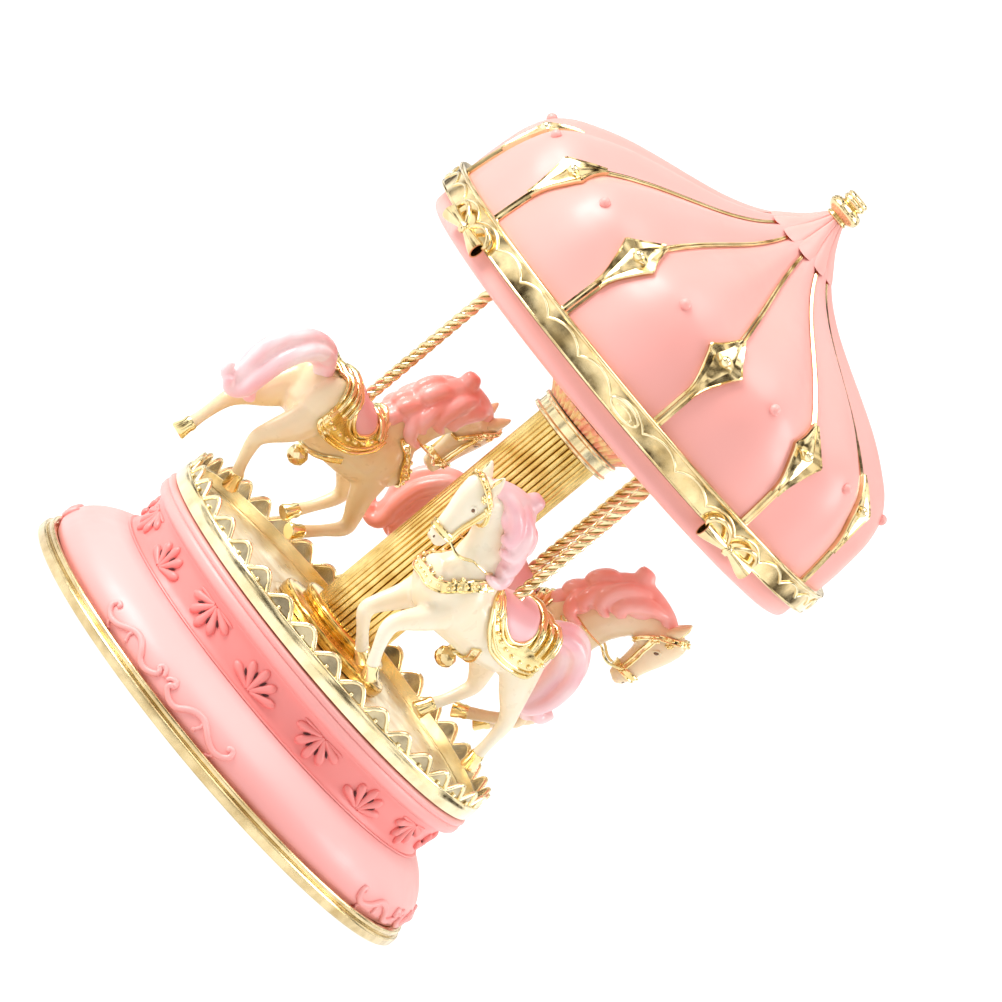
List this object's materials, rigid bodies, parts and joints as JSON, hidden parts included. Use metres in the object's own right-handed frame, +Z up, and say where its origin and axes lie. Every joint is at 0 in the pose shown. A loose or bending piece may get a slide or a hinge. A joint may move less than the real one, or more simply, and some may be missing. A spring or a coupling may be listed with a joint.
{
  "type": "carousel music box",
  "caption": "Wind-up carousel music box: a domed roof with hanging horses turns over a round pedestal that holds a pinned-cylinder movement.",
  "frame": {"origin": "centre of the base's underside", "axes": "+Z up through the column and finial; -Y is the front; +X is to the right seen from the front"},
  "size_m": [0.1234, 0.1234, 0.1842],
  "materials": {
    "pink_lacquer": "glossy pink lacquer on cast resin",
    "rose_lacquer": "glossy deep rose lacquer",
    "gilt": "bright gold plating, slightly aged in the hollows",
    "pale_gilt": "pale satin gold plating",
    "horse_ivory": "ivory enamel with painted pink saddle, mane and tail",
    "steel": "plain bright steel",
    "brass": "plain brass"
  },
  "bodies": {
    "base": {"rim_ring": "gilt", "base_plate": "steel", "base_screw_1": "steel", "base_screw_2": "steel", "base_screw_3": "steel", "base_screw_4": "steel", "base_shell": "pink_lacquer", "deck_ring": "gilt", "arch_fence": "gilt", "deck_floor": "pale_gilt", "column_foot": "gilt", "column_sleeve": "gilt", "column_ring": "pale_gilt", "shaft_bush": "brass", "bedplate": "brass", "movement_screw_1": "steel", "movement_screw_2": "steel", "movement_screw_3": "steel", "cylinder_bridge_inner": "brass", "cylinder_bridge_outer": "brass", "comb_block": "brass", "comb": "steel", "comb_screw_1": "steel", "comb_screw_2": "steel", "governor_frame": "brass"},
    "carousel": {"drive_shaft": "steel", "spring_barrel": "brass", "crown_wheel": "brass", "barrel_cover": "brass", "mainspring": "steel", "roof_hub": "rose_lacquer", "hub_nut": "steel", "roof_ceiling": "pink_lacquer", "roof_band": "gilt", "dome_shell": "pink_lacquer", "rib_cage": "gilt", "roof_cap": "pink_lacquer", "finial": "gilt", "bow_1": "gilt", "bow_2": "gilt", "bow_3": "gilt", "bow_4": "gilt", "pole_1": "gilt", "pole_2": "gilt", "pole_3": "gilt", "pole_nut_1": "steel", "pole_nut_2": "steel", "pole_nut_3": "steel", "ball_nut_1": "gilt", "ball_nut_2": "gilt", "ball_nut_3": "gilt"},
    "key": {"winding_key": "brass", "key_arbor": "steel"},
    "cylinder": {"pin_cylinder": "brass", "cylinder_pinion": "steel", "cylinder_wheel": "brass"},
    "fly": {"fly": "steel"},
    "horse_1": {"horse_1": "horse_ivory"},
    "horse_2": {"horse_2": "horse_ivory"},
    "horse_3": {"horse_3": "horse_ivory"}
  },
  "joints": [
    {"name": "carousel_spin", "type": "hinge", "parent": "base", "child": "carousel", "pos_m": [0, 0, 0.1], "axis": [0, 0, 1], "continuous": true},
    {"name": "key_turn", "type": "hinge", "parent": "base", "child": "key", "pos_m": [0, 0, 0.005], "axis": [0, 0, 1], "continuous": true},
    {"name": "cylinder_spin", "type": "hinge", "parent": "base", "child": "cylinder", "pos_m": [0, 0, 0.018], "axis": [1, 0, 0], "continuous": true},
    {"name": "fly_spin", "type": "hinge", "parent": "base", "child": "fly", "pos_m": [0.0354, 0.0073, 0.018], "axis": [0, 0, 1], "continuous": true},
    {"name": "horse_1_swivel", "type": "hinge", "parent": "carousel", "child": "horse_1", "pos_m": [-0.03558, -0.00112, 0.06], "axis": [0, 0, 1], "range_deg": [-18, 45]},
    {"name": "horse_2_swivel", "type": "hinge", "parent": "carousel", "child": "horse_2", "pos_m": [0.01876, -0.03026, 0.06], "axis": [0, 0, 1], "range_deg": [-45, 42]},
    {"name": "horse_3_swivel", "type": "hinge", "parent": "carousel", "child": "horse_3", "pos_m": [0.01682, 0.03137, 0.06], "axis": [0, 0, 1], "range_deg": [-45, 9]}
  ],
  "couplings": [
    {"joint": "cylinder_spin", "follows": "carousel_spin", "ratio": 4},
    {"joint": "fly_spin", "follows": "carousel_spin", "ratio": 24}
  ]
}
